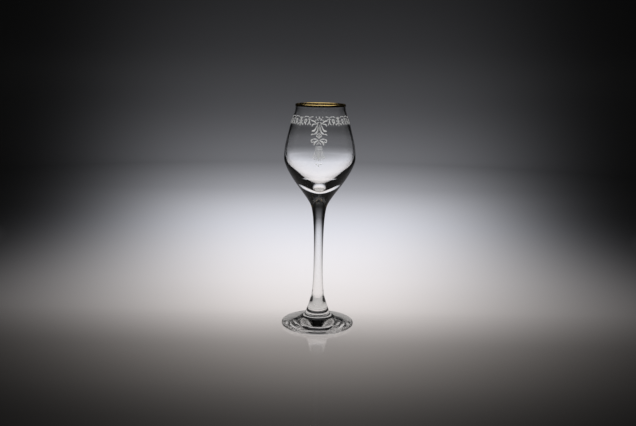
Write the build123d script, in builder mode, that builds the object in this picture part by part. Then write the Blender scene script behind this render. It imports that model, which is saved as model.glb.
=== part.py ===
from build123d import *
import math
import os

# Cordial glass in millimetres: +Z up, standing on Z = 0, its axis on Z.
# A lean is in degrees from upright, and is positive where the outline widens downwards.

# Bowl outside
total_height = 155.0
rim_diameter = 34.0
shoulder_diameter = 40.7
shoulder_drop = 14.0
shoulder_lean = 13.2
bowl_diameter = 48.8
widest_height = 118.0
cone_diameter = 33.9
cone_height = 102.0
cone_lean = -34.5

# Bowl wall, and the cavity with solid glass under its floor
rim_wall = 1.2
shoulder_wall = 1.34
belly_wall = 1.78
belly_rise_inside = 0.4
belly_lean_inside = -7.5
cavity_floor = 97.0
cavity_floor_reach = 7.0
cavity_side_reach = 7.4

# Fused joint of bowl and stem
upper_joint_height = 84.5
upper_joint_diameter = 10.7
upper_joint_lean = -16.0
upper_joint_dome = 1.2

# Stem
stem_diameter = 6.2
stem_narrowest_height = 47.0

# Fused joint of stem and foot
lower_joint_height = 20.0
lower_joint_diameter = 9.5
lower_joint_lean = 17.0
lower_joint_dome = 0.8

# Foot: flared post, disc with a rounded edge, hollowed underside
foot_diameter = 50.4
flare_diameter = 25.0
flare_height = 5.9
flare_lean = 77.0
foot_edge = 2.7
rest_ring_width = 3.0
underside_hollow = 1.3

# Gold layer over the straight lip
gilt_thickness = 0.08
gilt_depth = 1.5
lip_below_gilt = 1.0

# Points of the outline, as (radius, height), shared by the pieces that meet there
lip_round = rim_wall / 2
lip_end_height = total_height - gilt_depth - lip_below_gilt
shoulder_height = total_height - shoulder_drop
lip_top = (rim_diameter / 2 - lip_round, total_height)
lip_outside = (rim_diameter / 2, total_height - lip_round)
lip_inside = (rim_diameter / 2 - rim_wall, total_height - lip_round)
lip_end_outside = (rim_diameter / 2, lip_end_height)
lip_end_inside = (rim_diameter / 2 - rim_wall, lip_end_height)
shoulder_outside = (shoulder_diameter / 2, shoulder_height)
shoulder_inside = (shoulder_diameter / 2 - shoulder_wall, shoulder_height)
widest_outside = (bowl_diameter / 2, widest_height)
belly_inside = (bowl_diameter / 2 - belly_wall, widest_height + belly_rise_inside)
cone = (cone_diameter / 2, cone_height)
upper_joint = (upper_joint_diameter / 2, upper_joint_height)
upper_joint_top = (0, upper_joint_height + upper_joint_dome)
stem_narrowest = (stem_diameter / 2, stem_narrowest_height)
lower_joint = (lower_joint_diameter / 2, lower_joint_height)
lower_joint_bottom = (0, lower_joint_height - lower_joint_dome)


def bend(start, start_lean, start_reach, end, end_lean, end_reach):
    """Control points of a curve that leaves start and reaches end at these leans.

    Each reach is the share of the drop between them over which the curve holds its lean.
    """
    drop = start[1] - end[1]
    start_down = start_reach * drop
    end_up = end_reach * drop
    start_out = start_down * math.tan(math.radians(start_lean))
    end_in = end_up * math.tan(math.radians(end_lean))
    return [start, (start[0] + start_out, start[1] - start_down), (end[0] - end_in, end[1] + end_up), end]


os.makedirs("parts", exist_ok=True)

# Bowl: straight lip, tulip wall, solid base dished to take the domed end of the stem
cavity_side_in = cavity_side_reach * math.tan(math.radians(belly_lean_inside))
with BuildPart() as bowl:
    with BuildSketch(Plane.XZ):
        with BuildLine():
            ThreePointArc(lip_inside, lip_top, lip_outside)
            Line(lip_outside, lip_end_outside)
            Bezier(*bend(lip_end_outside, 0, 0.2, shoulder_outside, shoulder_lean, 0.25))
            Bezier(*bend(shoulder_outside, shoulder_lean, 0.35, widest_outside, 0, 0.4))
            Bezier(*bend(widest_outside, 0, 0.2, cone, cone_lean, 0.45))
            Bezier(*bend(cone, cone_lean, 0.3, upper_joint, upper_joint_lean, 0.25))
            TangentArc(upper_joint_top, upper_joint, tangent=(1, 0))
            Line(upper_joint_top, (0, cavity_floor))
            Bezier(
                (0, cavity_floor),
                (cavity_floor_reach, cavity_floor),
                (belly_inside[0] + cavity_side_in, belly_inside[1] - cavity_side_reach),
                belly_inside,
            )
            Bezier(*bend(shoulder_inside, shoulder_lean, 0.14, belly_inside, belly_lean_inside, 0.37))
            Bezier(*bend(lip_end_inside, 0, 0.2, shoulder_inside, shoulder_lean, 0.25))
            Line(lip_end_inside, lip_inside)
        make_face()
    revolve(axis=Axis.Z)

bowl.part.label = "bowl"
export_step(bowl.part, "parts/bowl.step")

# Stem: solid, slim below its middle, swelling to a domed end at each joint
with BuildPart() as stem:
    with BuildSketch(Plane.XZ):
        with BuildLine():
            TangentArc(upper_joint_top, upper_joint, tangent=(1, 0))
            Bezier(*bend(upper_joint, upper_joint_lean, 0.2, stem_narrowest, 0, 0.32))
            Bezier(*bend(stem_narrowest, 0, 0.24, lower_joint, lower_joint_lean, 0.17))
            TangentArc(lower_joint_bottom, lower_joint, tangent=(1, 0))
            Line(lower_joint_bottom, upper_joint_top)
        make_face()
    revolve(axis=Axis.Z)

stem.part.label = "stem"
export_step(stem.part, "parts/stem.step")

# Foot: post dished to take the stem, flaring into a disc that stands on a flat ring
flare_end = (flare_diameter / 2, flare_height)
edge_centre_radius = (foot_diameter - foot_edge) / 2
ring_inside = (edge_centre_radius - rest_ring_width, 0)
with BuildPart() as foot:
    with BuildSketch(Plane.XZ):
        with BuildLine():
            TangentArc(lower_joint_bottom, lower_joint, tangent=(1, 0))
            Bezier(*bend(lower_joint, lower_joint_lean, 0.45, flare_end, flare_lean, 0.07))
            Line(flare_end, (edge_centre_radius, foot_edge))
            ThreePointArc(
                (edge_centre_radius, foot_edge),
                (foot_diameter / 2, foot_edge / 2),
                (edge_centre_radius, 0),
            )
            Line((edge_centre_radius, 0), ring_inside)
            TangentArc((0, underside_hollow), ring_inside, tangent=(1, 0))
            Line((0, underside_hollow), lower_joint_bottom)
        make_face()
    revolve(axis=Axis.Z)

foot.part.label = "foot"
export_step(foot.part, "parts/foot.step")

# Gold: a thin skin that follows the lip and ends square below it, inside and out
gilt_end_height = total_height - gilt_depth
gilt_top = (lip_top[0], lip_top[1] + gilt_thickness)
gilt_outside = (lip_outside[0] + gilt_thickness, lip_outside[1])
gilt_inside = (lip_inside[0] - gilt_thickness, lip_inside[1])
with BuildPart() as gilt_rim:
    with BuildSketch(Plane.XZ):
        with BuildLine():
            ThreePointArc(lip_inside, lip_top, lip_outside)
            Polyline(
                lip_outside,
                (lip_outside[0], gilt_end_height),
                (gilt_outside[0], gilt_end_height),
                gilt_outside,
            )
            ThreePointArc(gilt_outside, gilt_top, gilt_inside)
            Polyline(
                gilt_inside,
                (gilt_inside[0], gilt_end_height),
                (lip_inside[0], gilt_end_height),
                lip_inside,
            )
        make_face()
    revolve(axis=Axis.Z)

gilt_rim.part.label = "gilt_rim"
export_step(gilt_rim.part, "parts/gilt_rim.step")
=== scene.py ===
import math

import bpy
from mathutils import Matrix, Vector


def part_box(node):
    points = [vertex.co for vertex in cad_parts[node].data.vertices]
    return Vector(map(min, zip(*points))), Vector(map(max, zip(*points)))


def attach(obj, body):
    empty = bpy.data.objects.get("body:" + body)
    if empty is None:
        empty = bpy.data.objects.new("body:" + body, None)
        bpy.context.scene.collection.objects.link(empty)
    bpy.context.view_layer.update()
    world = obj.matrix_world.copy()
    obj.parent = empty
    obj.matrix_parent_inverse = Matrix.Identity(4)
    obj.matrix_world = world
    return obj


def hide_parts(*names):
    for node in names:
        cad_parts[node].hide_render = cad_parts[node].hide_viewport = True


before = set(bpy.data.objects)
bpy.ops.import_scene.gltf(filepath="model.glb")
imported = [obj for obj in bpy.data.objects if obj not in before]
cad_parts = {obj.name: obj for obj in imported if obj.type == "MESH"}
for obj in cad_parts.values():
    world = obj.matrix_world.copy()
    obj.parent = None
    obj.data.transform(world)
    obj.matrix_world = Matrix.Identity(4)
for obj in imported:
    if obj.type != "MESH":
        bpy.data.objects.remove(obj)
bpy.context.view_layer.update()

# Bowl
# A tulip bowl of clear glass, thin at the lip and thick and solid below its cavity. It is turned
# about its axis, and its dished underside is fused to the domed end of the stem.
mm = 0.001
rim_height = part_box("bowl")[1].z
rim_radius = 17.0 * mm
rim_wall = 1.2 * mm
lip_straight = 2.5 * mm
shoulder_radius = 20.35 * mm
shoulder_height = rim_height - 14.0 * mm
shoulder_lean = 13.2
shoulder_wall = 1.34 * mm
belly_radius = 24.4 * mm
belly_height = 118.0 * mm
belly_wall = 1.78 * mm
belly_rise_inside = 0.4 * mm
belly_lean_inside = -7.5
cone_radius = 16.95 * mm
cone_height = 102.0 * mm
cone_lean = -34.5
cavity_floor = 97.0 * mm
cavity_floor_reach = 7.0 * mm
cavity_side_reach = 7.4 * mm
upper_weld_radius = 5.35 * mm
upper_weld_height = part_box("bowl")[0].z
upper_weld_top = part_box("stem")[1].z
upper_weld_lean = -16.0
neck_holds = (0.2, 0.25)
shoulder_holds = (0.35, 0.4)
shoulder_holds_inside = (0.14, 0.37)
belly_holds = (0.2, 0.45)
cone_holds = (0.3, 0.25)
outline_steps = 48
turned_segments = 160
glass_tint = (0.998, 1.0, 0.999, 1)
glass_index = 1.5
lamp_light_passed = (0.94, 0.95, 0.95, 1)
weld_tint = (0.99, 0.99, 0.99, 1)


def place(tree, kind, feeds=None, **settings):
    """A new node: feeds gives its inputs, by name or number, a value or the socket that feeds them."""
    made = tree.nodes.new(kind)
    for setting, value in settings.items():
        setattr(made, setting, value)
    for name, value in (feeds or {}).items():
        if isinstance(value, bpy.types.NodeSocket):
            tree.links.new(value, made.inputs[name])
        else:
            made.inputs[name].default_value = value
    return made


def maths(tree, operation, *values):
    """The socket with the result of a maths node that works on these numbers or sockets."""
    return place(tree, "ShaderNodeMath", dict(enumerate(values)), operation=operation).outputs[0]


def new_group(name, kind, inputs, outputs):
    """An empty node group with these named sockets, and its input and output nodes."""
    group = bpy.data.node_groups.new(name, kind)
    for label, socket_type in inputs.items():
        group.interface.new_socket(label, in_out="INPUT", socket_type=socket_type)
    for label, socket_type in outputs.items():
        group.interface.new_socket(label, in_out="OUTPUT", socket_type=socket_type)
    return group, group.nodes.new("NodeGroupInput"), group.nodes.new("NodeGroupOutput")


def turning_tree():
    """Geometry nodes that turn an outline about the axis, with the fused faces in their own finish."""
    axis_radius = 0.001 * mm
    same_point = 0.005 * mm
    crease_angle = math.radians(30)
    tree, given, result = new_group(
        "turned_on_the_axis",
        "GeometryNodeTree",
        {
            "Outline": "NodeSocketObject",
            "Fused Outline": "NodeSocketObject",
            "Segments": "NodeSocketInt",
            "Finish": "NodeSocketMaterial",
            "Fused Finish": "NodeSocketMaterial",
        },
        {"Mesh": "NodeSocketGeometry"},
    )
    circle = place(
        tree,
        "GeometryNodeCurvePrimitiveCircle",
        {"Resolution": given.outputs["Segments"], "Radius": axis_radius},
    )
    both = place(tree, "GeometryNodeJoinGeometry")
    for source, fused in (("Outline", False), ("Fused Outline", True)):
        drawn = place(tree, "GeometryNodeObjectInfo", {"Object": given.outputs[source]})
        upright = place(
            tree,
            "GeometryNodeTransform",
            {"Geometry": drawn.outputs["Geometry"], "Scale": (1, -1, 1)},
        )
        swept = place(
            tree,
            "GeometryNodeCurveToMesh",
            {"Curve": circle.outputs["Curve"], "Profile Curve": upright.outputs["Geometry"]},
        )
        marked = place(
            tree,
            "GeometryNodeStoreNamedAttribute",
            {"Geometry": swept.outputs["Mesh"], "Name": "fused", "Value": fused},
            data_type="BOOLEAN",
            domain="FACE",
        )
        tree.links.new(marked.outputs["Geometry"], both.inputs["Geometry"])
    closed = place(
        tree,
        "GeometryNodeMergeByDistance",
        {"Geometry": both.outputs["Geometry"], "Distance": same_point},
    )
    angle = place(tree, "GeometryNodeInputMeshEdgeAngle")
    crease = place(
        tree,
        "FunctionNodeCompare",
        {0: angle.outputs["Unsigned Angle"], 1: crease_angle},
        operation="GREATER_THAN",
    )
    shaded = place(
        tree,
        "GeometryNodeSetShadeSmooth",
        {"Geometry": closed.outputs["Geometry"], "Selection": crease.outputs[0], "Shade Smooth": False},
        domain="EDGE",
    )
    whole = place(tree, "GeometryNodeRealizeInstances", {"Geometry": shaded.outputs["Geometry"]})
    finished = place(
        tree,
        "GeometryNodeSetMaterial",
        {"Geometry": whole.outputs["Geometry"], "Material": given.outputs["Finish"]},
    )
    is_fused = place(tree, "GeometryNodeInputNamedAttribute", {"Name": "fused"}, data_type="BOOLEAN")
    fused_too = place(
        tree,
        "GeometryNodeSetMaterial",
        {
            "Geometry": finished.outputs["Geometry"],
            "Selection": is_fused.outputs["Attribute"],
            "Material": given.outputs["Fused Finish"],
        },
    )
    tree.links.new(fused_too.outputs["Geometry"], result.inputs["Mesh"])
    return tree


def made_by(tree, name, feeds):
    """The plain mesh object that a geometry tree makes from these inputs."""
    piece = bpy.data.objects.new(name, bpy.data.meshes.new(name))
    bpy.context.scene.collection.objects.link(piece)
    modifier = piece.modifiers.new(tree.name, "NODES")
    modifier.node_group = tree
    for socket in tree.interface.items_tree:
        if socket.in_out == "INPUT" and socket.name in feeds:
            modifier[socket.identifier] = feeds[socket.name]
    evaluated = piece.evaluated_get(bpy.context.evaluated_depsgraph_get())
    mesh = bpy.data.meshes.new_from_object(evaluated)
    piece.modifiers.clear()
    piece.data = mesh
    mesh.name = name
    return piece


def bend(start, start_lean, end, end_lean, holds):
    """A curve down from start to end, with its lean at each end in degrees from upright.

    It holds each lean over the share of the drop that holds gives for that end.
    """
    drop = start[1] - end[1]
    start_down, end_up = (share * drop for share in holds)
    start_out = start_down * math.tan(math.radians(start_lean))
    end_in = end_up * math.tan(math.radians(end_lean))
    return [start, (start[0] + start_out, start[1] - start_down), (end[0] - end_in, end[1] + end_up), end]


def quarter_round(start, corner, end):
    """A quarter of a circle or ellipse that leaves start towards corner and reaches end from it."""
    pull = 0.5523
    leaving = [s + pull * (c - s) for s, c in zip(start, corner)]
    arriving = [e + pull * (c - e) for e, c in zip(end, corner)]
    return [start, leaving, arriving, end]


def dome(top, edge):
    """A shallow arc of a circle, level at its top on the axis, to its edge."""
    rise = top[1] - edge[1]
    radius = (edge[0] ** 2 + rise**2) / (2 * rise)
    angle = math.asin(edge[0] / radius)
    pull = 4 / 3 * math.tan(angle / 4) * radius
    return [
        top,
        (pull, top[1]),
        (edge[0] - pull * math.cos(angle), edge[1] + pull * math.sin(angle)),
        edge,
    ]


def drawn_outline(name, runs):
    """A curve for each run of pieces: straight ones have two points, and bent ones four control points."""
    line = bpy.data.curves.new(name, "CURVE")
    line.dimensions = "3D"
    line.resolution_u = outline_steps
    for run in runs:
        spline = line.splines.new("BEZIER")
        spline.bezier_points.add(len(run))
        knots = list(spline.bezier_points)
        for knot in knots:
            knot.handle_left_type = "FREE"
            knot.handle_right_type = "FREE"
        for first, second, piece in zip(knots[:-1], knots[1:], run):
            first.co = (*piece[0], 0)
            second.co = (*piece[-1], 0)
            if len(piece) == 2:
                first.handle_right_type = "VECTOR"
                second.handle_left_type = "VECTOR"
            else:
                first.handle_right = (*piece[1], 0)
                second.handle_left = (*piece[2], 0)
    curve = bpy.data.objects.new(name, line)
    bpy.context.scene.collection.objects.link(curve)
    return curve


def turned(name, pieces, finish, fused_arcs=(), segments=turned_segments):
    """A piece turned about the axis from its outline, with its fused faces turned from their arcs."""
    outlines = {
        "Outline": drawn_outline(name + "_outline", [pieces]),
        "Fused Outline": drawn_outline(name + "_fused_outline", [[arc] for arc in fused_arcs]),
    }
    feeds = {"Segments": segments, "Finish": finish, "Fused Finish": weld}
    piece = made_by(turning, name, outlines | feeds)
    for curve in outlines.values():
        bpy.data.curves.remove(curve.data)
    return piece


def fire_polish_group():
    """Shader group: the low, slow waves that a flame leaves on glass, as a height."""
    group, given, result = new_group(
        "fire_polish",
        "ShaderNodeTree",
        {"Waves per Metre": "NodeSocketFloat", "Stretch": "NodeSocketVector"},
        {"Height": "NodeSocketFloat"},
    )
    where = place(group, "ShaderNodeTexCoord")
    stretched = place(
        group,
        "ShaderNodeVectorMath",
        {0: where.outputs["Object"], 1: given.outputs["Stretch"]},
        operation="MULTIPLY",
    )
    waves = place(
        group,
        "ShaderNodeTexNoise",
        {
            "Vector": stretched.outputs[0],
            "Scale": given.outputs["Waves per Metre"],
            "Detail": 1.0,
            "Roughness": 0.4,
        },
    )
    group.links.new(waves.outputs["Fac"], result.inputs["Height"])
    return group


def new_finish(name):
    """A new material with nodes, and its node tree."""
    material = bpy.data.materials.new(name)
    material.use_nodes = True
    return material, material.node_tree


def lamp_ray(tree):
    """The socket that is 1 for shadow and diffuse rays, which look for light, and 0 for rays that see."""
    path = place(tree, "ShaderNodeLightPath")
    return maths(tree, "MAXIMUM", path.outputs["Is Shadow Ray"], path.outputs["Is Diffuse Ray"])


def clear_glass(name, waves, stretch, wave_depth):
    """Clear soda glass with fire polished skin. Lamp light passes it, as it does through real glass."""
    material, tree = new_finish(name)
    glass = tree.nodes["Principled BSDF"]
    glass.inputs["Base Color"].default_value = glass_tint
    glass.inputs["Roughness"].default_value = 0
    glass.inputs["IOR"].default_value = glass_index
    glass.inputs["Transmission Weight"].default_value = 1
    polish = place(
        tree,
        "ShaderNodeGroup",
        {"Waves per Metre": waves, "Stretch": stretch},
        node_tree=fire_polish,
    )
    skin = place(
        tree,
        "ShaderNodeBump",
        {"Height": polish.outputs["Height"], "Distance": wave_depth, "Strength": 1.0},
    )
    tree.links.new(skin.outputs["Normal"], glass.inputs["Normal"])
    passed = place(tree, "ShaderNodeBsdfTransparent", {"Color": lamp_light_passed})
    surface = place(
        tree,
        "ShaderNodeMixShader",
        {0: lamp_ray(tree), 1: glass.outputs[0], 2: passed.outputs[0]},
    )
    tree.links.new(surface.outputs[0], tree.nodes["Material Output"].inputs["Surface"])
    return material


def fused_glass():
    """The two faces of a weld: one mass of glass, so light goes straight on."""
    material, tree = new_finish("fused_glass")
    tree.nodes.remove(tree.nodes["Principled BSDF"])
    through = place(tree, "ShaderNodeBsdfTransparent", {"Color": weld_tint})
    tree.links.new(through.outputs[0], tree.nodes["Material Output"].inputs["Surface"])
    return material


turning = turning_tree()
fire_polish = fire_polish_group()
weld = fused_glass()

lip_round = rim_wall / 2
lip_end = rim_height - lip_straight
lip_top = (rim_radius - lip_round, rim_height)
lip_outside = (rim_radius, rim_height - lip_round)
lip_inside = (rim_radius - rim_wall, rim_height - lip_round)
neck_outside = (rim_radius, lip_end)
neck_inside = (rim_radius - rim_wall, lip_end)
shoulder_outside = (shoulder_radius, shoulder_height)
shoulder_inside = (shoulder_radius - shoulder_wall, shoulder_height)
belly_outside = (belly_radius, belly_height)
belly_inside = (belly_radius - belly_wall, belly_height + belly_rise_inside)
cone = (cone_radius, cone_height)
upper_weld_edge = (upper_weld_radius, upper_weld_height)
cavity_side_in = cavity_side_reach * math.tan(math.radians(belly_lean_inside))
cavity_pull = (belly_inside[0] + cavity_side_in, belly_inside[1] - cavity_side_reach)
upper_weld_arc = dome((0, upper_weld_top), upper_weld_edge)

bowl = turned(
    "glass_bowl",
    [
        [(0, cavity_floor), (cavity_floor_reach, cavity_floor), cavity_pull, belly_inside],
        bend(shoulder_inside, shoulder_lean, belly_inside, belly_lean_inside, shoulder_holds_inside)[::-1],
        bend(neck_inside, 0, shoulder_inside, shoulder_lean, neck_holds)[::-1],
        [neck_inside, lip_inside],
        quarter_round(lip_inside, (lip_inside[0], rim_height), lip_top),
        quarter_round(lip_top, (lip_outside[0], rim_height), lip_outside),
        [lip_outside, neck_outside],
        bend(neck_outside, 0, shoulder_outside, shoulder_lean, neck_holds),
        bend(shoulder_outside, shoulder_lean, belly_outside, 0, shoulder_holds),
        bend(belly_outside, 0, cone, cone_lean, belly_holds),
        bend(cone, cone_lean, upper_weld_edge, upper_weld_lean, cone_holds),
    ],
    clear_glass("clear_bowl_glass", waves=60, stretch=(1, 1, 0.5), wave_depth=0.008 * mm),
    [upper_weld_arc[::-1]],
)
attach(bowl, "root")
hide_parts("bowl")

# Stem
# One drawn rod of solid glass, slim below its middle and swelling to a domed end at each weld. It is
# fused to the bowl and to the foot while all three are hot.
stem_radius = 3.1 * mm
stem_waist_height = 47.0 * mm
lower_weld_radius = 4.75 * mm
lower_weld_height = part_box("foot")[1].z
lower_weld_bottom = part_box("stem")[0].z
lower_weld_lean = 17.0
upper_stem_holds = (0.2, 0.32)
lower_stem_holds = (0.24, 0.17)
stem_waist = (stem_radius, stem_waist_height)
lower_weld_edge = (lower_weld_radius, lower_weld_height)
lower_weld_arc = dome((0, lower_weld_bottom), lower_weld_edge)

stem = turned(
    "glass_stem",
    [
        bend(upper_weld_edge, upper_weld_lean, stem_waist, 0, upper_stem_holds),
        bend(stem_waist, 0, lower_weld_edge, lower_weld_lean, lower_stem_holds),
    ],
    clear_glass("clear_stem_glass", waves=90, stretch=(1, 1, 0.3), wave_depth=0.004 * mm),
    [upper_weld_arc, lower_weld_arc[::-1]],
)
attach(stem, "root")
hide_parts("stem")

# Foot
# A spun disc of clear glass that rises in a flared post to the stem. It stands on a flat ring
# round a shallow hollow, and its edge is rounded in the flame.
foot_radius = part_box("foot")[1].x
flare_radius = 12.5 * mm
flare_height = 5.9 * mm
flare_lean = 77.0
flare_holds = (0.45, 0.07)
foot_edge = 2.7 * mm
rest_ring_width = 3.0 * mm
underside_hollow = 1.3 * mm
edge_radius = foot_radius - foot_edge / 2
flare_end = (flare_radius, flare_height)
edge_top = (edge_radius, foot_edge)
edge_side = (foot_radius, foot_edge / 2)
edge_bottom = (edge_radius, 0)
ring_inside = (edge_radius - rest_ring_width, 0)

foot = turned(
    "glass_foot",
    [
        bend(lower_weld_edge, lower_weld_lean, flare_end, flare_lean, flare_holds),
        [flare_end, edge_top],
        quarter_round(edge_top, (foot_radius, foot_edge), edge_side),
        quarter_round(edge_side, (foot_radius, 0), edge_bottom),
        [edge_bottom, ring_inside],
        dome((0, underside_hollow), ring_inside)[::-1],
    ],
    clear_glass("clear_foot_glass", waves=110, stretch=(1, 1, 1), wave_depth=0.1 * mm),
    [lower_weld_arc],
)
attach(foot, "root")
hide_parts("foot")

# Gilt rim
# Liquid gold brushed over the lip, fired on and burnished: a skin too thin to feel, which wraps
# the lip inside and out and is keyed a little into the glass.
gilt_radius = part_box("gilt_rim")[1].x
gilt_skin = gilt_radius - rim_radius
gilt_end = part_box("gilt_rim")[0].z
gilt_key = 0.015 * mm
burnished_gold = (0.72, 0.50, 0.17, 1)
cloudy_gold = (0.88, 0.66, 0.28, 1)
burnished_roughness = 0.14
cloudy_roughness = 0.3
clouds_per_metre = 260.0
brush_rings = (60, 60, 4000)
brush_depth = 0.004 * mm
skin_top = rim_height + gilt_skin
skin_inside = (lip_inside[0] - gilt_skin, lip_inside[1])
skin_outside = (lip_outside[0] + gilt_skin, lip_outside[1])
key_top = rim_height - gilt_key
key_inside = (lip_inside[0] + gilt_key, lip_inside[1])
key_outside = (lip_outside[0] - gilt_key, lip_outside[1])


def ranged(tree, value, source, target=(0, 1), **settings):
    """The socket of a value carried over from one range to another, and held at its ends."""
    feeds = {"Value": value, "From Min": source[0], "From Max": source[1]}
    feeds |= {"To Min": target[0], "To Max": target[1]}
    return place(tree, "ShaderNodeMapRange", feeds, **settings).outputs["Result"]


def mixed_colour(tree, share, first, second):
    """The socket of a colour that goes from the first to the second as the share goes from 0 to 1."""
    return place(tree, "ShaderNodeMix", {0: share, 6: first, 7: second}, data_type="RGBA").outputs[2]


def fired_gold():
    """Burnished gold: fine brush rings round the rim, and cloudy patches where it was rubbed less."""
    material, tree = new_finish("fired_gold")
    metal = tree.nodes["Principled BSDF"]
    metal.inputs["Metallic"].default_value = 1
    where = place(tree, "ShaderNodeTexCoord")
    clouds = place(
        tree,
        "ShaderNodeTexNoise",
        {"Vector": where.outputs["Object"], "Scale": clouds_per_metre, "Detail": 3.0},
    )
    tone = mixed_colour(tree, clouds.outputs["Fac"], burnished_gold, cloudy_gold)
    tree.links.new(tone, metal.inputs["Base Color"])
    rub = ranged(tree, clouds.outputs["Fac"], (0.3, 0.7), (burnished_roughness, cloudy_roughness))
    tree.links.new(rub, metal.inputs["Roughness"])
    rings = place(
        tree,
        "ShaderNodeVectorMath",
        {0: where.outputs["Object"], 1: brush_rings},
        operation="MULTIPLY",
    )
    brush = place(tree, "ShaderNodeTexNoise", {"Vector": rings.outputs[0], "Scale": 1.0, "Detail": 2.0})
    marks = place(
        tree,
        "ShaderNodeBump",
        {"Height": brush.outputs["Fac"], "Distance": brush_depth, "Strength": 0.5},
    )
    tree.links.new(marks.outputs["Normal"], metal.inputs["Normal"])
    return material


gilt_rim = turned(
    "gilt_lip",
    [
        [(skin_inside[0], gilt_end), skin_inside],
        quarter_round(skin_inside, (skin_inside[0], skin_top), (lip_top[0], skin_top)),
        quarter_round((lip_top[0], skin_top), (skin_outside[0], skin_top), skin_outside),
        [skin_outside, (skin_outside[0], gilt_end)],
        [(skin_outside[0], gilt_end), (key_outside[0], gilt_end)],
        [(key_outside[0], gilt_end), key_outside],
        quarter_round(key_outside, (key_outside[0], key_top), (lip_top[0], key_top)),
        quarter_round((lip_top[0], key_top), (key_inside[0], key_top), key_inside),
        [key_inside, (key_inside[0], gilt_end)],
        [(key_inside[0], gilt_end), (skin_inside[0], gilt_end)],
    ],
    fired_gold(),
)
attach(gilt_rim, "root")
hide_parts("gilt_rim")

# Etched leaf band
# A traditional band of leaf scrolls round the shoulder of the bowl, with three drops of leaves below it.
# It is etched through a resist, so it is a matt skin that follows the glass. Each motif is drawn once, as
# tapered strokes, then mirrored and repeated.
drops = 3
places_round = 3 * drops
place_angle = math.tau / places_round
first_drop = math.radians(-2)
skin_cushion = 0.03
stroke_steps = 6


def leaf(root, tip, width, bow=0.0, belly=0.55):
    """A stroke from a blunt root to its tip, widest at its belly and bowed to the left.

    Each knot is (across, height, half width). Its station gives the share of the length, the bow there
    and the share of the width.
    """
    across = tip[0] - root[0]
    rise = tip[1] - root[1]
    stations = ((0, 0, 0.35), (belly, bow, 1), (0.9, 0.4 * bow, 0.75), (1, 0, 0.15))
    knots = []
    for share, bowed, breadth in stations:
        knots.append(
            (
                root[0] + share * across - bowed * rise,
                root[1] + share * rise + bowed * across,
                breadth * width,
            )
        )
    return knots


def bud(centre, radius):
    """A small round dot."""
    return leaf((centre[0], centre[1] - radius), (centre[0], centre[1] + radius), radius, belly=0.5)


def scroll(centre, radius, start, turns, width):
    """A volute that winds in from its outer end, which lies at the start angle in degrees."""
    knots_per_turn = 8
    wound_in = 0.65
    thinned = 0.4
    steps = round(knots_per_turn * abs(turns))
    knots = []
    for step in range(steps + 1):
        share = step / steps
        angle = math.radians(start) + math.tau * turns * share
        reach = radius * (1 - wound_in * share)
        knots.append(
            (
                centre[0] + reach * math.cos(angle),
                centre[1] + reach * math.sin(angle),
                width * (1 - thinned * share),
            )
        )
    return knots


def drawn_strokes(name, strokes):
    """Flat curves of the strokes, in millimetres across and up, with half widths as radii."""
    line = bpy.data.curves.new(name, "CURVE")
    line.dimensions = "3D"
    line.resolution_u = stroke_steps
    for stroke in strokes:
        spline = line.splines.new("BEZIER")
        spline.bezier_points.add(len(stroke) - 1)
        for knot, (across, height, half_width) in zip(spline.bezier_points, stroke):
            knot.co = (across * mm, height * mm, 0)
            knot.radius = half_width * mm
            knot.handle_left_type = "AUTO"
            knot.handle_right_type = "AUTO"
    curve = bpy.data.objects.new(name, line)
    bpy.context.scene.collection.objects.link(curve)
    return curve


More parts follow.
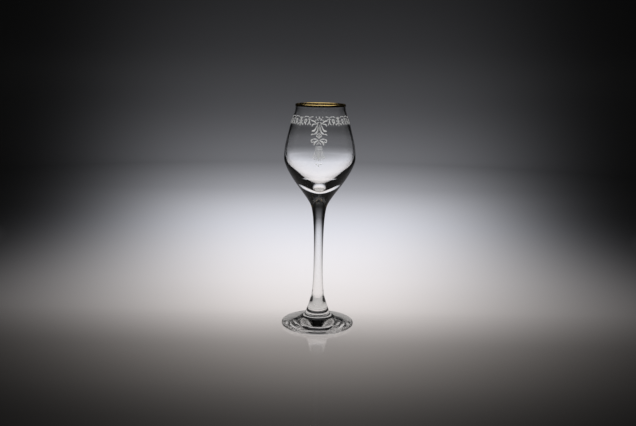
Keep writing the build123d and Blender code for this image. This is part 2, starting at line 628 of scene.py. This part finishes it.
def etching_tree():
    """Geometry nodes that mirror flat strokes, wrap them on the bowl and repeat them round it."""
    outside = 0.05
    tree, given, result = new_group(
        "etched_round_the_bowl",
        "GeometryNodeTree",
        {
            "Side Strokes": "NodeSocketObject",
            "Middle Strokes": "NodeSocketObject",
            "Bowl": "NodeSocketObject",
            "Repeats": "NodeSocketInt",
            "First Angle": "NodeSocketFloat",
            "Cushion": "NodeSocketFloat",
            "Finish": "NodeSocketMaterial",
            "Under Finish": "NodeSocketMaterial",
        },
        {"Mesh": "NodeSocketGeometry"},
    )
    right = place(tree, "GeometryNodeObjectInfo", {"Object": given.outputs["Side Strokes"]})
    left = place(
        tree,
        "GeometryNodeTransform",
        {"Geometry": right.outputs["Geometry"], "Scale": (-1, 1, 1)},
    )
    middle = place(tree, "GeometryNodeObjectInfo", {"Object": given.outputs["Middle Strokes"]})
    strokes = place(tree, "GeometryNodeJoinGeometry")
    for part in (right, left, middle):
        tree.links.new(part.outputs["Geometry"], strokes.inputs["Geometry"])
    level = place(tree, "GeometryNodeSetCurveNormal", {"Curve": strokes.outputs["Geometry"]}, mode="Z_UP")
    square = place(tree, "GeometryNodeCurvePrimitiveCircle", {"Resolution": 4, "Radius": 1.0})
    flatness = place(tree, "ShaderNodeCombineXYZ", {"X": 1.0, "Y": given.outputs["Cushion"], "Z": 1.0})
    cushion = place(
        tree,
        "GeometryNodeTransform",
        {"Geometry": square.outputs["Curve"], "Scale": flatness.outputs[0]},
    )
    half_width = place(tree, "GeometryNodeInputRadius")
    flat = place(
        tree,
        "GeometryNodeCurveToMesh",
        {
            "Curve": level.outputs["Curve"],
            "Profile Curve": cushion.outputs["Geometry"],
            "Scale": half_width.outputs[0],
            "Fill Caps": True,
        },
    )
    where = place(tree, "GeometryNodeInputPosition")
    drawn = place(tree, "ShaderNodeSeparateXYZ", {0: where.outputs[0]})
    below = place(
        tree,
        "FunctionNodeCompare",
        {0: drawn.outputs["Z"], 1: 0.0},
        operation="LESS_THAN",
    )
    marked = place(
        tree,
        "GeometryNodeStoreNamedAttribute",
        {"Geometry": flat.outputs["Mesh"], "Name": "under", "Value": below.outputs[0]},
        data_type="BOOLEAN",
        domain="FACE",
    )
    source = place(tree, "ShaderNodeCombineXYZ", {"X": outside, "Z": drawn.outputs["Y"]})
    target = place(tree, "GeometryNodeObjectInfo", {"Object": given.outputs["Bowl"]})
    seat = place(
        tree,
        "GeometryNodeRaycast",
        {
            "Target Geometry": target.outputs["Geometry"],
            "Source Position": source.outputs[0],
            "Ray Direction": (-1, 0, 0),
            "Ray Length": outside,
        },
    )
    radius = place(tree, "ShaderNodeSeparateXYZ", {0: seat.outputs["Hit Position"]})
    angle = maths(tree, "DIVIDE", drawn.outputs["X"], radius.outputs["X"])
    lifted = maths(tree, "ADD", radius.outputs["X"], drawn.outputs["Z"])
    forward = place(tree, "ShaderNodeCombineXYZ", {"Y": -1.0})
    turn = place(tree, "ShaderNodeVectorRotate", {"Vector": forward.outputs[0], "Angle": angle})
    spoke = place(tree, "ShaderNodeVectorMath", {0: turn.outputs[0], "Scale": lifted}, operation="SCALE")
    height = place(tree, "ShaderNodeCombineXYZ", {"Z": drawn.outputs["Y"]})
    point = place(
        tree,
        "ShaderNodeVectorMath",
        {0: spoke.outputs[0], 1: height.outputs[0]},
        operation="ADD",
    )
    wrapped = place(
        tree,
        "GeometryNodeSetPosition",
        {"Geometry": marked.outputs["Geometry"], "Position": point.outputs[0]},
    )
    centres = place(
        tree,
        "GeometryNodeMeshLine",
        {"Count": given.outputs["Repeats"], "Offset": (0, 0, 0)},
    )
    number = place(tree, "GeometryNodeInputIndex")
    step = maths(tree, "DIVIDE", math.tau, given.outputs["Repeats"])
    round_angle = maths(tree, "MULTIPLY_ADD", number.outputs[0], step, given.outputs["First Angle"])
    facing = place(tree, "ShaderNodeCombineXYZ", {"Z": round_angle})
    copies = place(
        tree,
        "GeometryNodeInstanceOnPoints",
        {
            "Points": centres.outputs["Mesh"],
            "Instance": wrapped.outputs["Geometry"],
            "Rotation": facing.outputs[0],
        },
    )
    whole = place(tree, "GeometryNodeRealizeInstances", {"Geometry": copies.outputs["Instances"]})
    finished = place(
        tree,
        "GeometryNodeSetMaterial",
        {"Geometry": whole.outputs["Geometry"], "Material": given.outputs["Finish"]},
    )
    is_under = place(tree, "GeometryNodeInputNamedAttribute", {"Name": "under"}, data_type="BOOLEAN")
    under_too = place(
        tree,
        "GeometryNodeSetMaterial",
        {
            "Geometry": finished.outputs["Geometry"],
            "Selection": is_under.outputs["Attribute"],
            "Material": given.outputs["Under Finish"],
        },
    )
    tree.links.new(under_too.outputs["Geometry"], result.inputs["Mesh"])
    return tree


def etched_glass():
    """A white matt skin, uneven in its grain, and nearly clear where it is seen from within the bowl."""
    frost = (0.93, 0.93, 0.92, 1)
    glow_share = 0.6
    grains_per_metre = 6000.0
    least_bare = 0.12
    most_bare = 0.3
    bare_from_within = 0.94
    material, tree = new_finish("etched_glass")
    matt = tree.nodes["Principled BSDF"]
    matt.inputs["Base Color"].default_value = frost
    matt.inputs["Roughness"].default_value = 0.9
    matt.inputs["Specular IOR Level"].default_value = 0.2
    glow = place(tree, "ShaderNodeBsdfTranslucent", {"Color": frost})
    scattered = place(tree, "ShaderNodeMixShader", {0: glow_share, 1: matt.outputs[0], 2: glow.outputs[0]})
    where = place(tree, "ShaderNodeTexCoord")
    grain = place(
        tree,
        "ShaderNodeTexNoise",
        {"Vector": where.outputs["Object"], "Scale": grains_per_metre, "Detail": 2.0},
    )
    bare = ranged(tree, grain.outputs["Fac"], (0.35, 0.65), (least_bare, most_bare))
    skin = place(tree, "ShaderNodeNewGeometry")
    seen_within = maths(tree, "MULTIPLY", skin.outputs["Backfacing"], bare_from_within)
    open_skin = maths(tree, "MAXIMUM", bare, seen_within)
    passed = maths(tree, "MAXIMUM", open_skin, lamp_ray(tree))
    clear = place(tree, "ShaderNodeBsdfTransparent")
    surface = place(
        tree,
        "ShaderNodeMixShader",
        {0: passed, 1: scattered.outputs[0], 2: clear.outputs[0]},
    )
    tree.links.new(surface.outputs[0], tree.nodes["Material Output"].inputs["Surface"])
    return material


etching = etching_tree()
frosting = etched_glass()


def etched(name, sides, middle, first_angle, repeats):
    """One motif etched round the bowl from the strokes of one side and those on its middle line."""
    strokes = {
        "Side Strokes": drawn_strokes(name + "_sides", sides),
        "Middle Strokes": drawn_strokes(name + "_middle", middle),
    }
    feeds = {"Bowl": bowl, "Repeats": repeats, "First Angle": first_angle, "Cushion": skin_cushion}
    piece = made_by(etching, name, strokes | feeds | {"Finish": frosting, "Under Finish": weld})
    for curve in strokes.values():
        bpy.data.curves.remove(curve.data)
    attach(piece, "root")


# Each drop has a crown and stalks on the band, two tiers of drooping leaves, a lyre of petals on two
# bars, a fan of blades and a trefoil at its point.
drop_sides = [
    bud((2.1, 147.1), 0.42),
    bud((2.35, 145.2), 0.4),
    leaf((0.5, 145.0), (1.5, 146.3), 0.26, bow=-0.2),
    leaf((1.9, 143.1), (5.6, 144.9), 0.46, bow=0.12, belly=0.4),
    leaf((2.0, 142.9), (4.9, 141.1), 0.46, bow=0.22, belly=0.75),
    leaf((0.2, 143.9), (1.5, 142.4), 0.32, bow=0.25),
    leaf((0.75, 143.2), (1.0, 140.6), 0.24, bow=0.1),
    leaf((1.5, 141.7), (5.1, 138.2), 0.62, bow=-0.2, belly=0.72),
    leaf((0.75, 140.9), (3.4, 136.3), 0.6, bow=-0.2, belly=0.65),
    leaf((3.2, 136.2), (5.5, 135.5), 0.34, bow=0.15),
    leaf((0.5, 137.0), (1.9, 135.6), 0.3, bow=-0.15),
    leaf((0.35, 133.7), (2.0, 135.0), 0.36, bow=0.15),
    leaf((0.7, 132.6), (4.0, 133.0), 0.36, bow=0.1),
    scroll((4.2, 131.7), 1.15, 95, -0.85, 0.4),
    leaf((0.5, 132.3), (3.2, 129.1), 0.7, bow=0.18, belly=0.6),
    leaf((0.3, 131.0), (1.4, 129.2), 0.32, bow=0.1),
    leaf((0.4, 116.3), (2.5, 116.9), 0.36, bow=0.12),
]
for blade in (1, 2, 3):
    blade_tip = (1.5 * blade, 118.9 + 0.15 * blade**2)
    drop_sides.append(leaf((0.62 * blade, 126.2), blade_tip, 0.36, bow=-0.05, belly=0.6))
drop_middle = [
    bud((0, 147.1), 0.5),
    leaf((-1.6, 145.8), (1.6, 145.8), 0.22, bow=0.12, belly=0.5),
    leaf((0, 142.6), (0, 138.2), 0.3),
    leaf((0, 137.6), (0, 133.3), 0.46, belly=0.75),
    leaf((0, 132.9), (0, 129.6), 0.28, belly=0.7),
    leaf((-2.3, 128.1), (2.3, 128.1), 0.32, belly=0.5),
    leaf((-2.6, 126.8), (2.6, 126.8), 0.32, belly=0.5),
    leaf((0, 126.3), (0, 118.7), 0.4),
    leaf((0, 116.6), (0, 114.9), 0.42),
]
etched("etched_drops", drop_sides, drop_middle, first_drop, drops)

# Each clump is an upright leaf on a flared base, with a volute on either side, and each sprig is a leaf
# that forks downwards from a twig along the top of the band.
clump_sides = [
    leaf((0.4, 143.4), (1.9, 141.8), 0.4, bow=0.2),
    leaf((0.3, 146.0), (1.3, 147.2), 0.3, bow=-0.15),
    leaf((0.7, 143.9), (1.5, 145.3), 0.26, bow=-0.2),
    scroll((3.7, 144.8), 1.3, 230, 1.1, 0.34),
    bud((3.75, 144.9), 0.3),
    leaf((2.2, 146.7), (3.9, 147.5), 0.3, bow=0.12),
    leaf((3.4, 143.3), (4.6, 141.9), 0.4, bow=0.2),
    leaf((2.6, 143.2), (2.5, 141.9), 0.3, bow=-0.1),
]
clump_middle = [
    leaf((0, 142.2), (0, 147.3), 0.72, belly=0.35),
    leaf((0, 143.0), (0, 141.3), 0.4),
]
sprig_sides = [
    leaf((0.15, 144.9), (1.35, 142.0), 0.36, bow=-0.12, belly=0.7),
    leaf((0.2, 146.8), (2.5, 147.3), 0.27, bow=0.12),
    leaf((0.25, 145.6), (1.3, 145.7), 0.24, bow=0.15),
]
sprig_middle = [leaf((0, 147.2), (0, 143.4), 0.36, belly=0.7)]
for side, turn in (("left", -1), ("right", 1)):
    etched(f"etched_{side}_clumps", clump_sides, clump_middle, first_drop + turn * place_angle, drops)
etched("etched_sprigs", sprig_sides, sprig_middle, first_drop + place_angle / 2, places_round)

# Studio floor
# A pale floor that sweeps up into a round backdrop. A pool of light is painted into its colour behind the
# glass, narrow to the sides and long to the back. The sides are painted in shade, dark enough to draw the
# edges of clear glass.
floor_reach = 0.95
cove_radius = 0.3
backdrop_height = 2.4
floor_gap = 0.05 * mm
backdrop_radius = floor_reach + cove_radius
sweep_segments = 128
floor_end = (floor_reach, -floor_gap)
cove_corner = (backdrop_radius, -floor_gap)
cove_end = (backdrop_radius, cove_radius)


def painted_pool_of_light(tree, axes, depth):
    """The socket of the pool's light, as a share.

    The pool of light is painted into the paper's colour. It fades slowly to its sides near the glass, and
    further back a steeper painted shade cuts it off short. Its stops pair a depth, along the floor and up
    the backdrop, with the share of painted light there.
    """
    near_half_width = 0.163
    near_power = 2.0
    shade_cut_half_width = 0.124
    shade_cut_power = 3.0
    shade_cut_start = 0.0
    shade_cut_full = 0.5
    pool_fan = 0.565
    least_fan = 0.35
    depth_start = -0.8
    depth_end = 1.8
    stops = (
        (-0.7, 0.002), (-0.35, 0.005), (-0.165, 0.026), (-0.11, 0.095), (-0.043, 0.252),
        (0.0, 0.475), (0.048, 0.63), (0.12, 0.735), (0.25, 0.79), (0.45, 0.656),
        (0.62, 0.42), (0.95, 0.24), (1.2, 0.083), (1.5, 0.022),
    )
    ramp = place(tree, "ShaderNodeValToRGB", {0: ranged(tree, depth, (depth_start, depth_end))})
    ramp.color_ramp.interpolation = "B_SPLINE"
    ramp_stops = ramp.color_ramp.elements
    for number, (stop_depth, share) in enumerate(stops):
        position = (stop_depth - depth_start) / (depth_end - depth_start)
        if number < len(ramp_stops):
            stop = ramp_stops[number]
            stop.position = position
        else:
            stop = ramp_stops.new(position)
        stop.color = (share, share, share, 1)
    fan = maths(tree, "MULTIPLY_ADD", axes.outputs["Y"], 1 / pool_fan, 1.0)
    wide = maths(tree, "MAXIMUM", fan, least_fan)
    side = maths(tree, "DIVIDE", axes.outputs["X"], wide)
    aside = maths(tree, "ABSOLUTE", side)
    falls = []
    for half_width, power in ((near_half_width, near_power), (shade_cut_half_width, shade_cut_power)):
        half_widths_aside = maths(tree, "DIVIDE", aside, half_width)
        falls.append(maths(tree, "POWER", half_widths_aside, power))
    # Further back the pool is painted narrower: painted shade, not flags, darkens its sides.
    shade_cut = ranged(tree, axes.outputs["Y"], (shade_cut_start, shade_cut_full), interpolation_type="SMOOTHSTEP")
    fall = place(tree, "ShaderNodeMix", {0: shade_cut, 2: falls[0], 3: falls[1]}, data_type="FLOAT")
    across = maths(tree, "POWER", 1 / math.e, fall.outputs[0])
    return maths(tree, "MULTIPLY", ramp.outputs["Color"], across)


def painted_surround_light(tree, where, axes, path):
    """The socket of the faint light to the sides and in front, as a share, for views from other angles.

    This faint light is painted into the paper's colour. Rays that glass or gloss has mirrored do not see
    it, so that the thick glass keeps its blacks.
    """
    most = 0.2
    round_fade = (0.24, 0.6)
    back_fade = (0.4, -0.1)
    height_fade = (1.2, 0.1)
    unmirrored = maths(tree, "LESS_THAN", path.outputs["Glossy Depth"], 0.5)
    level = place(
        tree,
        "ShaderNodeVectorMath",
        {0: where.outputs["Object"], 1: (1, 1, 0)},
        operation="MULTIPLY",
    )
    reach = place(tree, "ShaderNodeVectorMath", {0: level.outputs[0]}, operation="LENGTH")
    faint = maths(tree, "MULTIPLY", unmirrored, most)
    for value, fade in (
        (reach.outputs["Value"], round_fade),
        (axes.outputs["Y"], back_fade),
        (axes.outputs["Z"], height_fade),
    ):
        shown = ranged(tree, value, fade, interpolation_type="SMOOTHSTEP")
        faint = maths(tree, "MULTIPLY", faint, shown)
    return faint


def studio_sweep():
    """Pale paper, warm and glossy before the glass, cool and matt behind it, dark away from the light."""
    # The pool of light, and the dark away from it, are painted into the paper's colour.
    glossy_until = -0.03
    matt_from = 0.03
    glossy_and_matt_roughness = (0.08, 0.35)
    glossy_and_matt_specular = (0.8, 0.25)
    warm_paper = (0.87, 0.80, 0.76, 1)
    cool_paper = (0.82, 0.83, 0.90, 1)
    # The paper's colour where it is painted in shade.
    paper_in_painted_shade = (0.003, 0.003, 0.003, 1)
    warm_until = -0.08
    cool_from = 0.35
    share_in_gloss = 0.25
    material, tree = new_finish("studio_sweep")
    paper = tree.nodes["Principled BSDF"]
    where = place(tree, "ShaderNodeTexCoord")
    axes = place(tree, "ShaderNodeSeparateXYZ", {0: where.outputs["Object"]})
    path = place(tree, "ShaderNodeLightPath")
    roughness = ranged(tree, axes.outputs["Y"], (glossy_until, matt_from), glossy_and_matt_roughness)
    tree.links.new(roughness, paper.inputs["Roughness"])
    specular = ranged(tree, axes.outputs["Y"], (glossy_until, matt_from), glossy_and_matt_specular)
    tree.links.new(specular, paper.inputs["Specular IOR Level"])
    depth = maths(tree, "ADD", axes.outputs["Y"], axes.outputs["Z"])
    # The pool of light is painted into the paper's colour.
    painted_pool = painted_pool_of_light(tree, axes, depth)
    # Faint light to the sides and in front, painted into the paper's colour.
    painted_surround = painted_surround_light(tree, where, axes, path)
    # The paper is painted from near black in painted shade up to its tint in the painted light. Rays
    # mirrored by glass or gloss see it painted darker, at share_in_gloss of that light.
    painted_light_share = maths(tree, "MAXIMUM", painted_pool, painted_surround)
    mirrored = maths(tree, "SUBTRACT", path.outputs["Is Glossy Ray"], path.outputs["Is Transmission Ray"])
    shown = ranged(tree, mirrored, (0, 1), (1, share_in_gloss))
    light = maths(tree, "MULTIPLY", painted_light_share, shown)
    far = ranged(tree, depth, (warm_until, cool_from))
    tint = mixed_colour(tree, far, warm_paper, cool_paper)
    tone = mixed_colour(tree, light, paper_in_painted_shade, tint)
    tree.links.new(tone, paper.inputs["Base Color"])
    return material


sweep = turned(
    "studio_sweep",
    [
        [(0, -floor_gap), floor_end],
        quarter_round(floor_end, cove_corner, cove_end),
        [cove_end, (backdrop_radius, backdrop_height)],
    ],
    studio_sweep(),
    segments=sweep_segments,
)

# Light and camera
# A wide soft lamp hangs above and a little behind the glass, a fill stands in front, and a third lamp
# lights the gold alone. The camera stands at the height and distance that give the glass its outline in
# the photo, tipped down and a shade off level.
dim_light = (0.002, 0.002, 0.002, 1)
light_bounces = 32
camera_place = Vector((-0.00065, -0.5651, 0.1846))
camera_pitch = math.radians(10.5)
camera_roll = math.radians(0.89)


def disk_lamp(name, size, power, location, tip=0.0, mirrored=False):
    """A round soft lamp, tipped from straight down. It shows in glass and gloss only if it is mirrored."""
    light = bpy.data.lights.new(name, "AREA")
    light.shape = "DISK"
    light.size = size
    light.energy = power
    lamp = bpy.data.objects.new(name, light)
    lamp.location = location
    lamp.rotation_euler = (math.radians(tip), 0, 0)
    lamp.visible_glossy = mirrored
    lamp.visible_transmission = mirrored
    bpy.context.scene.collection.objects.link(lamp)
    return lamp


disk_lamp("soft_lamp", size=0.9, power=28.0, location=(0, 0.25, 1.5))
disk_lamp("front_fill", size=0.8, power=14.0, location=(0, -0.9, 0.9), tip=50)
gilt_lamp = disk_lamp("gilt_lamp", size=1.6, power=8.0, location=(0, 0.1, 1.2), mirrored=True)
gilt_alone = bpy.data.collections.new("gilt_alone")
gilt_alone.objects.link(gilt_rim)
gilt_lamp.light_linking.receiver_collection = gilt_alone

dim = bpy.data.worlds.new("dim_studio")
dim.use_nodes = True
dim.node_tree.nodes["Background"].inputs["Color"].default_value = dim_light
bpy.context.scene.world = dim

lens = bpy.data.cameras.new("photo_camera")
lens.sensor_width = 36.0
lens.lens = 46.95
camera = bpy.data.objects.new("photo_camera", lens)
looking = Matrix.Rotation(math.radians(90) - camera_pitch, 4, "X") @ Matrix.Rotation(camera_roll, 4, "Z")
camera.matrix_world = Matrix.Translation(camera_place) @ looking
bpy.context.scene.collection.objects.link(camera)
bpy.context.scene.camera = camera

bpy.context.scene.view_settings.view_transform = "Standard"
cycles = bpy.context.scene.cycles
cycles.max_bounces = light_bounces
cycles.glossy_bounces = light_bounces
cycles.transmission_bounces = light_bounces
cycles.transparent_max_bounces = light_bounces
